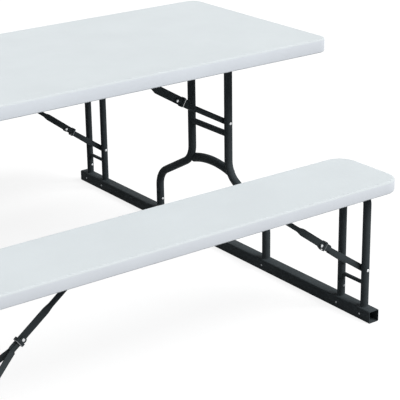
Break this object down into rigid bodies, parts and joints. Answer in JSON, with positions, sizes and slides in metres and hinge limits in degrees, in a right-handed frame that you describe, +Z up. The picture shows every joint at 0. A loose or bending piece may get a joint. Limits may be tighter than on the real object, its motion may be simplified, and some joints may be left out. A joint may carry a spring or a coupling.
{
  "type": "folding table with bench seats",
  "caption": "Folding table with two bench seats: moulded tops on steel leg frames that fold on locking knee braces and lift off square foot rails.",
  "frame": {"origin": "on the floor under the middle of the table", "axes": "+X along the table and benches, +Y from the front bench to the rear bench, +Z up"},
  "size_m": [1.645, 1.662, 0.738],
  "materials": {
    "moulded_plastic": "fine-grained blow-moulded polyethylene, pale grey",
    "powder_coated_steel": "satin charcoal powder coat",
    "zinc_steel": "bright zinc plate"
  },
  "bodies": {
    "foot_rails": {"left_foot_rail": "powder_coated_steel", "right_foot_rail": "powder_coated_steel"},
    "table": {"table_top": "moulded_plastic", "right_table_pivot_saddle": "powder_coated_steel", "right_table_brace_anchor": "powder_coated_steel", "left_table_pivot_saddle": "powder_coated_steel", "left_table_brace_anchor": "powder_coated_steel"},
    "right_table_legs": {"right_table_front_leg": "powder_coated_steel", "right_table_rear_leg": "powder_coated_steel", "right_table_arch": "powder_coated_steel", "right_table_pivot_bar": "powder_coated_steel", "right_table_crossbar": "powder_coated_steel"},
    "right_table_strut": {"right_table_brace_strut": "powder_coated_steel"},
    "right_table_fork": {"right_table_brace_fork": "powder_coated_steel"},
    "right_table_ring": {"right_table_lock_ring": "powder_coated_steel"},
    "right_table_button": {"right_table_snap_button": "zinc_steel"},
    "left_table_legs": {"left_table_front_leg": "powder_coated_steel", "left_table_rear_leg": "powder_coated_steel", "left_table_arch": "powder_coated_steel", "left_table_pivot_bar": "powder_coated_steel", "left_table_crossbar": "powder_coated_steel"},
    "left_table_strut": {"left_table_brace_strut": "powder_coated_steel"},
    "left_table_fork": {"left_table_brace_fork": "powder_coated_steel"},
    "left_table_ring": {"left_table_lock_ring": "powder_coated_steel"},
    "left_table_button": {"left_table_snap_button": "zinc_steel"},
    "front_bench": {"front_bench_seat": "moulded_plastic", "right_front_bench_pivot_saddle": "powder_coated_steel", "right_front_bench_brace_anchor": "powder_coated_steel", "left_front_bench_pivot_saddle": "powder_coated_steel", "left_front_bench_brace_anchor": "powder_coated_steel"},
    "right_front_bench_legs": {"right_front_bench_leg_hoop": "powder_coated_steel", "right_front_bench_crossbar": "powder_coated_steel"},
    "right_front_bench_strut": {"right_front_bench_brace_strut": "powder_coated_steel"},
    "right_front_bench_fork": {"right_front_bench_brace_fork": "powder_coated_steel"},
    "right_front_bench_ring": {"right_front_bench_lock_ring": "powder_coated_steel"},
    "right_front_bench_button": {"right_front_bench_snap_button": "zinc_steel"},
    "left_front_bench_legs": {"left_front_bench_leg_hoop": "powder_coated_steel", "left_front_bench_crossbar": "powder_coated_steel"},
    "left_front_bench_strut": {"left_front_bench_brace_strut": "powder_coated_steel"},
    "left_front_bench_fork": {"left_front_bench_brace_fork": "powder_coated_steel"},
    "left_front_bench_ring": {"left_front_bench_lock_ring": "powder_coated_steel"},
    "left_front_bench_button": {"left_front_bench_snap_button": "zinc_steel"},
    "rear_bench": {"rear_bench_seat": "moulded_plastic", "right_rear_bench_pivot_saddle": "powder_coated_steel", "right_rear_bench_brace_anchor": "powder_coated_steel", "left_rear_bench_pivot_saddle": "powder_coated_steel", "left_rear_bench_brace_anchor": "powder_coated_steel"},
    "right_rear_bench_legs": {"right_rear_bench_leg_hoop": "powder_coated_steel", "right_rear_bench_crossbar": "powder_coated_steel"},
    "right_rear_bench_strut": {"right_rear_bench_brace_strut": "powder_coated_steel"},
    "right_rear_bench_fork": {"right_rear_bench_brace_fork": "powder_coated_steel"},
    "right_rear_bench_ring": {"right_rear_bench_lock_ring": "powder_coated_steel"},
    "right_rear_bench_button": {"right_rear_bench_snap_button": "zinc_steel"},
    "left_rear_bench_legs": {"left_rear_bench_leg_hoop": "powder_coated_steel", "left_rear_bench_crossbar": "powder_coated_steel"},
    "left_rear_bench_strut": {"left_rear_bench_brace_strut": "powder_coated_steel"},
    "left_rear_bench_fork": {"left_rear_bench_brace_fork": "powder_coated_steel"},
    "left_rear_bench_ring": {"left_rear_bench_lock_ring": "powder_coated_steel"},
    "left_rear_bench_button": {"left_rear_bench_snap_button": "zinc_steel"}
  },
  "joints": [
    {"name": "table_lift_off", "type": "slide", "parent": "foot_rails", "child": "table", "axis": [0, 0, 1], "range_m": [0, 0.25]},
    {"name": "right_table_leg_fold", "type": "hinge", "parent": "table", "child": "right_table_legs", "pos_m": [0.6205, 0, 0.6705], "axis": [0, 1, 0], "range_deg": [0, 90]},
    {"name": "right_table_brace_pivot", "type": "hinge", "parent": "table", "child": "right_table_strut", "pos_m": [0.2025, 0, 0.6985], "axis": [0, 1, 0], "range_deg": [-31.94, 0]},
    {"name": "right_table_knee", "type": "hinge", "parent": "right_table_strut", "child": "right_table_fork", "pos_m": [0.48989, 0, 0.51815], "axis": [0, 1, 0], "range_deg": [0, 172.86]},
    {"name": "right_table_ring_slide", "type": "slide", "parent": "right_table_strut", "child": "right_table_ring", "axis": [-0.8532, 0, 0.5215], "range_m": [0, 0.28327]},
    {"name": "right_table_button_press", "type": "slide", "parent": "foot_rails", "child": "right_table_button", "axis": [0, 1, 0], "range_m": [0, 0.003], "stiffness_N_per_m": 300},
    {"name": "left_table_leg_fold", "type": "hinge", "parent": "table", "child": "left_table_legs", "pos_m": [-0.6205, 0, 0.6705], "axis": [0, -1, 0], "range_deg": [0, 90]},
    {"name": "left_table_brace_pivot", "type": "hinge", "parent": "table", "child": "left_table_strut", "pos_m": [-0.2025, 0, 0.6985], "axis": [0, -1, 0], "range_deg": [-31.94, 0]},
    {"name": "left_table_knee", "type": "hinge", "parent": "left_table_strut", "child": "left_table_fork", "pos_m": [-0.48989, 0, 0.51815], "axis": [0, -1, 0], "range_deg": [0, 172.86]},
    {"name": "left_table_ring_slide", "type": "slide", "parent": "left_table_strut", "child": "left_table_ring", "axis": [0.8532, 0, 0.5215], "range_m": [0, 0.28327]},
    {"name": "left_table_button_press", "type": "slide", "parent": "foot_rails", "child": "left_table_button", "axis": [0, 1, 0], "range_m": [0, 0.003], "stiffness_N_per_m": 300},
    {"name": "front_bench_lift_off", "type": "slide", "parent": "foot_rails", "child": "front_bench", "axis": [0, 0, 1], "range_m": [0, 0.25]},
    {"name": "right_front_bench_leg_fold", "type": "hinge", "parent": "front_bench", "child": "right_front_bench_legs", "pos_m": [0.6205, -0.702, 0.3885], "axis": [0, 1, 0], "range_deg": [0, 90]},
    {"name": "right_front_bench_brace_pivot", "type": "hinge", "parent": "front_bench", "child": "right_front_bench_strut", "pos_m": [0.2845, -0.702, 0.4085], "axis": [0, 1, 0], "range_deg": [-37.53, 0]},
    {"name": "right_front_bench_knee", "type": "hinge", "parent": "right_front_bench_strut", "child": "right_front_bench_fork", "pos_m": [0.4907, -0.702, 0.24792], "axis": [0, 1, 0], "range_deg": [0, 176.18]},
    {"name": "right_front_bench_ring_slide", "type": "slide", "parent": "right_front_bench_strut", "child": "right_front_bench_ring", "axis": [-0.7983, 0, 0.6023], "range_m": [0, 0.19232]},
    {"name": "right_front_bench_button_press", "type": "slide", "parent": "foot_rails", "child": "right_front_bench_button", "axis": [0, 1, 0], "range_m": [0, 0.003], "stiffness_N_per_m": 300},
    {"name": "left_front_bench_leg_fold", "type": "hinge", "parent": "front_bench", "child": "left_front_bench_legs", "pos_m": [-0.6205, -0.702, 0.3885], "axis": [0, -1, 0], "range_deg": [0, 90]},
    {"name": "left_front_bench_brace_pivot", "type": "hinge", "parent": "front_bench", "child": "left_front_bench_strut", "pos_m": [-0.2845, -0.702, 0.4085], "axis": [0, -1, 0], "range_deg": [-37.53, 0]},
    {"name": "left_front_bench_knee", "type": "hinge", "parent": "left_front_bench_strut", "child": "left_front_bench_fork", "pos_m": [-0.4907, -0.702, 0.24792], "axis": [0, -1, 0], "range_deg": [0, 176.18]},
    {"name": "left_front_bench_ring_slide", "type": "slide", "parent": "left_front_bench_strut", "child": "left_front_bench_ring", "axis": [0.7983, 0, 0.6023], "range_m": [0, 0.19232]},
    {"name": "left_front_bench_button_press", "type": "slide", "parent": "foot_rails", "child": "left_front_bench_button", "axis": [0, 1, 0], "range_m": [0, 0.003], "stiffness_N_per_m": 300},
    {"name": "rear_bench_lift_off", "type": "slide", "parent": "foot_rails", "child": "rear_bench", "axis": [0, 0, 1], "range_m": [0, 0.25]},
    {"name": "right_rear_bench_leg_fold", "type": "hinge", "parent": "rear_bench", "child": "right_rear_bench_legs", "pos_m": [0.6205, 0.702, 0.3885], "axis": [0, 1, 0], "range_deg": [0, 90]},
    {"name": "right_rear_bench_brace_pivot", "type": "hinge", "parent": "rear_bench", "child": "right_rear_bench_strut", "pos_m": [0.2845, 0.702, 0.4085], "axis": [0, 1, 0], "range_deg": [-37.53, 0]},
    {"name": "right_rear_bench_knee", "type": "hinge", "parent": "right_rear_bench_strut", "child": "right_rear_bench_fork", "pos_m": [0.4907, 0.702, 0.24792], "axis": [0, 1, 0], "range_deg": [0, 176.18]},
    {"name": "right_rear_bench_ring_slide", "type": "slide", "parent": "right_rear_bench_strut", "child": "right_rear_bench_ring", "axis": [-0.7983, 0, 0.6023], "range_m": [0, 0.21332]},
    {"name": "right_rear_bench_button_press", "type": "slide", "parent": "foot_rails", "child": "right_rear_bench_button", "axis": [0, 1, 0], "range_m": [0, 0.003], "stiffness_N_per_m": 300},
    {"name": "left_rear_bench_leg_fold", "type": "hinge", "parent": "rear_bench", "child": "left_rear_bench_legs", "pos_m": [-0.6205, 0.702, 0.3885], "axis": [0, -1, 0], "range_deg": [0, 90]},
    {"name": "left_rear_bench_brace_pivot", "type": "hinge", "parent": "rear_bench", "child": "left_rear_bench_strut", "pos_m": [-0.2845, 0.702, 0.4085], "axis": [0, -1, 0], "range_deg": [-37.53, 0]},
    {"name": "left_rear_bench_knee", "type": "hinge", "parent": "left_rear_bench_strut", "child": "left_rear_bench_fork", "pos_m": [-0.4907, 0.702, 0.24792], "axis": [0, -1, 0], "range_deg": [0, 176.18]},
    {"name": "left_rear_bench_ring_slide", "type": "slide", "parent": "left_rear_bench_strut", "child": "left_rear_bench_ring", "axis": [0.7983, 0, 0.6023], "range_m": [0, 0.21332]},
    {"name": "left_rear_bench_button_press", "type": "slide", "parent": "foot_rails", "child": "left_rear_bench_button", "axis": [0, 1, 0], "range_m": [0, 0.003], "stiffness_N_per_m": 300}
  ],
  "couplings": [
    {"joint": "right_table_brace_pivot", "follows": "right_table_leg_fold", "ratio": -0.34928},
    {"joint": "right_table_knee", "follows": "right_table_leg_fold", "ratio": 1.9151},
    {"joint": "right_table_ring_slide", "follows": "right_table_leg_fold", "m_per_rad": 0.1797},
    {"joint": "left_table_brace_pivot", "follows": "left_table_leg_fold", "ratio": -0.34928},
    {"joint": "left_table_knee", "follows": "left_table_leg_fold", "ratio": 1.9151},
    {"joint": "left_table_ring_slide", "follows": "left_table_leg_fold", "m_per_rad": 0.1797},
    {"joint": "right_front_bench_brace_pivot", "follows": "right_front_bench_leg_fold", "ratio": -0.41148},
    {"joint": "right_front_bench_knee", "follows": "right_front_bench_leg_fold", "ratio": 1.952},
    {"joint": "right_front_bench_ring_slide", "follows": "right_front_bench_leg_fold", "m_per_rad": 0.1218},
    {"joint": "left_front_bench_brace_pivot", "follows": "left_front_bench_leg_fold", "ratio": -0.41148},
    {"joint": "left_front_bench_knee", "follows": "left_front_bench_leg_fold", "ratio": 1.952},
    {"joint": "left_front_bench_ring_slide", "follows": "left_front_bench_leg_fold", "m_per_rad": 0.1218},
    {"joint": "right_rear_bench_brace_pivot", "follows": "right_rear_bench_leg_fold", "ratio": -0.41148},
    {"joint": "right_rear_bench_knee", "follows": "right_rear_bench_leg_fold", "ratio": 1.952},
    {"joint": "right_rear_bench_ring_slide", "follows": "right_rear_bench_leg_fold", "m_per_rad": 0.13517},
    {"joint": "left_rear_bench_brace_pivot", "follows": "left_rear_bench_leg_fold", "ratio": -0.41148},
    {"joint": "left_rear_bench_knee", "follows": "left_rear_bench_leg_fold", "ratio": 1.952},
    {"joint": "left_rear_bench_ring_slide", "follows": "left_rear_bench_leg_fold", "m_per_rad": 0.13517}
  ]
}
